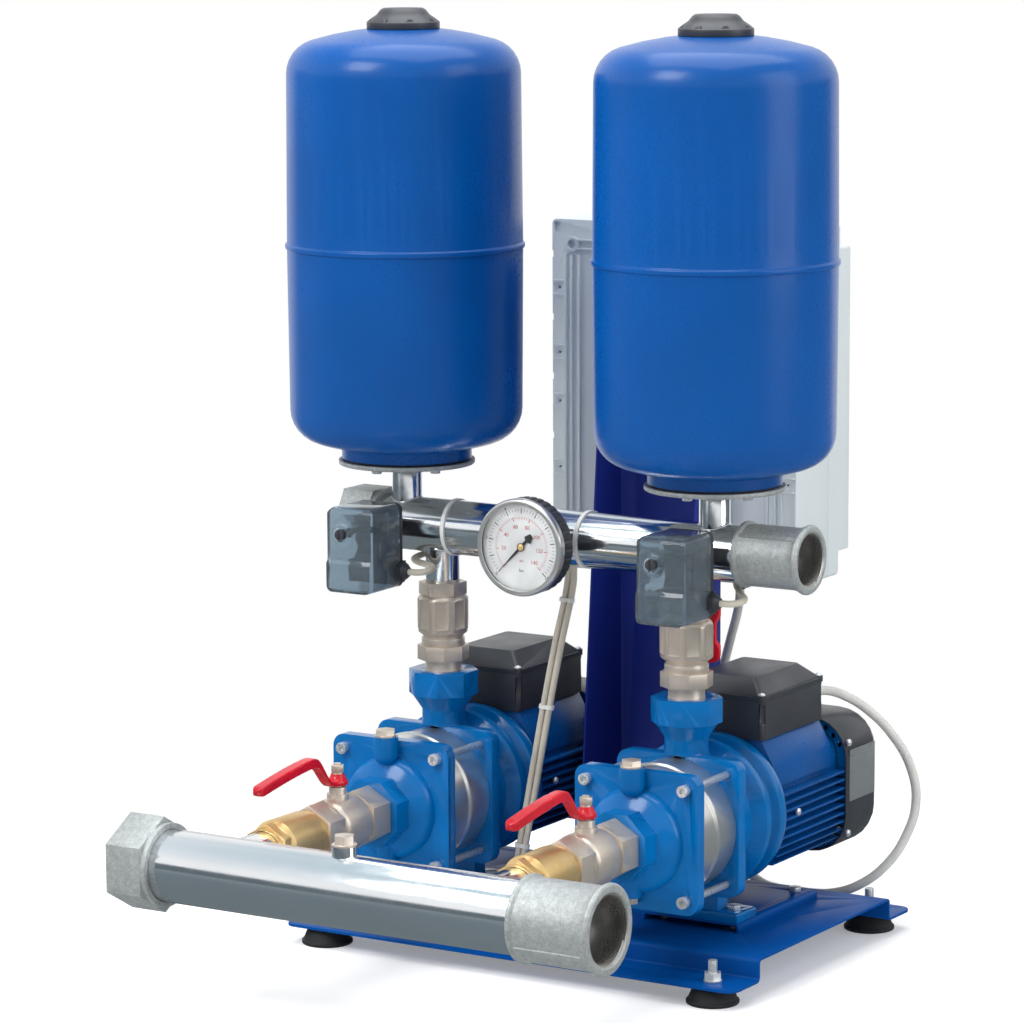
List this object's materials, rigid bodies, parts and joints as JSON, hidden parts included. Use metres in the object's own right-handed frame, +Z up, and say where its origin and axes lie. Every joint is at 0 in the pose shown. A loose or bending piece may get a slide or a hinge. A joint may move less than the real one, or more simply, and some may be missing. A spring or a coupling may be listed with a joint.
{
  "type": "booster pump set",
  "caption": "Twin-pump water booster set on a sheet base, with suction and delivery manifolds, membrane tanks, gauge, pressure switches and a control panel on a column.",
  "frame": {"origin": "on the floor under the middle of the set's outline", "axes": "+X along the manifolds towards the open sockets, +Y from the suction side to the panel, +Z up"},
  "size_m": [0.657, 0.893, 1.0309],
  "materials": {
    "tank_paint": "gloss blue enamel",
    "base_paint": "gloss blue powder coat",
    "pump_paint": "blue enamel on castings",
    "motor_paint": "dark blue enamel on ribbed aluminium",
    "black_plastic": "moulded black plastic",
    "black_sheet": "black painted sheet",
    "rubber": "moulded rubber",
    "zinc": "bright zinc plate",
    "bright_pipe": "bright plated steel pipe",
    "galvanised": "galvanised malleable iron",
    "stainless": "stainless steel",
    "nickel": "nickel plated brass",
    "brass": "cast brass",
    "red_coat": "red dipped coating",
    "panel_grey": "light grey moulding",
    "smoked": "smoked clear plastic",
    "clear": "clear glass",
    "dial": "white dial",
    "pointer": "black pointer",
    "copper": "laminations and copper windings",
    "grey_cable": "grey cable sheath",
    "beige_cable": "pale cable sheath"
  },
  "bodies": {
    "frame": {"base_frame": "base_paint", "pump_plinths": "base_paint", "rubber_feet": "rubber", "base_fasteners": "zinc", "suction_covers": "pump_paint", "stage_casings": "stainless", "delivery_casings": "pump_paint", "tie_screws": "zinc", "pipe_plugs": "nickel", "motor_brackets": "pump_paint", "motor_housings": "motor_paint", "stators": "copper", "shaft_bearings": "stainless", "fan_covers": "black_sheet", "terminal_boxes": "black_plastic", "terminal_lids": "black_plastic", "cable_glands": "black_plastic", "suction_manifold": "bright_pipe", "suction_socket": "galvanised", "hex_caps": "galvanised", "check_valve_bodies": "brass", "check_springs": "stainless", "suction_valve_bodies": "nickel", "delivery_manifold": "bright_pipe", "delivery_socket": "galvanised", "delivery_valve_bodies": "nickel", "delivery_unions": "nickel", "tank_lower_shells": "tank_paint", "tank_upper_shells": "tank_paint", "tank_flanges": "galvanised", "tank_bolts": "zinc", "tank_caps": "black_plastic", "tank_membranes": "rubber", "gauge_case": "black_plastic", "gauge_dial": "dial", "gauge_glass": "clear", "gauge_bezel": "stainless", "switch_bases": "black_plastic", "switch_covers": "smoked", "panel_column": "base_paint", "panel_body": "panel_grey", "panel_gear": "stainless", "motor_cable": "grey_cable", "switch_cable_left": "beige_cable", "switch_cable_right": "beige_cable"},
    "pump_rotor_left": {"rotor_left": "stainless"},
    "pump_rotor_right": {"rotor_right": "stainless"},
    "suction_valve_left": {"suction_ball_left": "nickel", "suction_lever_left": "red_coat"},
    "suction_valve_right": {"suction_ball_right": "nickel", "suction_lever_right": "red_coat"},
    "check_disc_left": {"check_poppet_left": "brass"},
    "check_disc_right": {"check_poppet_right": "brass"},
    "delivery_valve_left": {"delivery_ball_left": "nickel", "delivery_handle_left": "red_coat"},
    "delivery_valve_right": {"delivery_ball_right": "nickel", "delivery_handle_right": "red_coat"},
    "pointer": {"gauge_pointer": "pointer"},
    "door": {"panel_door": "panel_grey"},
    "isolator": {"main_switch": "red_coat"}
  },
  "joints": [
    {"name": "pump_shaft_left", "type": "hinge", "parent": "frame", "child": "pump_rotor_left", "pos_m": [-0.1505, 0.15202, 0.166], "axis": [0, 1, 0], "continuous": true},
    {"name": "suction_lever_left", "type": "hinge", "parent": "frame", "child": "suction_valve_left", "pos_m": [-0.1505, -0.15998, 0.215], "axis": [0, 0, 1], "range_deg": [0, 90]},
    {"name": "check_left", "type": "slide", "parent": "frame", "child": "check_disc_left", "axis": [0, 1, 0], "range_m": [0, 0.008], "stiffness_N_per_m": 300, "deforming": ["check_springs"]},
    {"name": "delivery_handle_left", "type": "hinge", "parent": "frame", "child": "delivery_valve_left", "pos_m": [-0.1505, 0.05203, 0.3655], "axis": [-0.5, 0.866, 0], "range_deg": [0, 90]},
    {"name": "pump_shaft_right", "type": "hinge", "parent": "frame", "child": "pump_rotor_right", "pos_m": [0.1595, 0.15202, 0.166], "axis": [0, 1, 0], "continuous": true},
    {"name": "suction_lever_right", "type": "hinge", "parent": "frame", "child": "suction_valve_right", "pos_m": [0.1595, -0.15998, 0.215], "axis": [0, 0, 1], "range_deg": [0, 90]},
    {"name": "check_right", "type": "slide", "parent": "frame", "child": "check_disc_right", "axis": [0, 1, 0], "range_m": [0, 0.008], "stiffness_N_per_m": 300, "deforming": ["check_springs"]},
    {"name": "delivery_handle_right", "type": "hinge", "parent": "frame", "child": "delivery_valve_right", "pos_m": [0.1595, 0.05203, 0.3655], "axis": [0, 1, 0], "range_deg": [0, 90]},
    {"name": "gauge_needle", "type": "hinge", "parent": "frame", "child": "pointer", "pos_m": [0.0015, -0.02397, 0.4625], "axis": [0, 1, 0], "range_deg": [0, 270]},
    {"name": "door_hinge", "type": "hinge", "parent": "frame", "child": "door", "pos_m": [-0.16, 0.37352, 0.583], "axis": [0, 0, 1], "range_deg": [0, 110]},
    {"name": "main_switch_turn", "type": "hinge", "parent": "door", "child": "isolator", "pos_m": [0.0045, 0.42252, 0.67144], "axis": [0, 1, 0], "range_deg": [0, 90]}
  ]
}
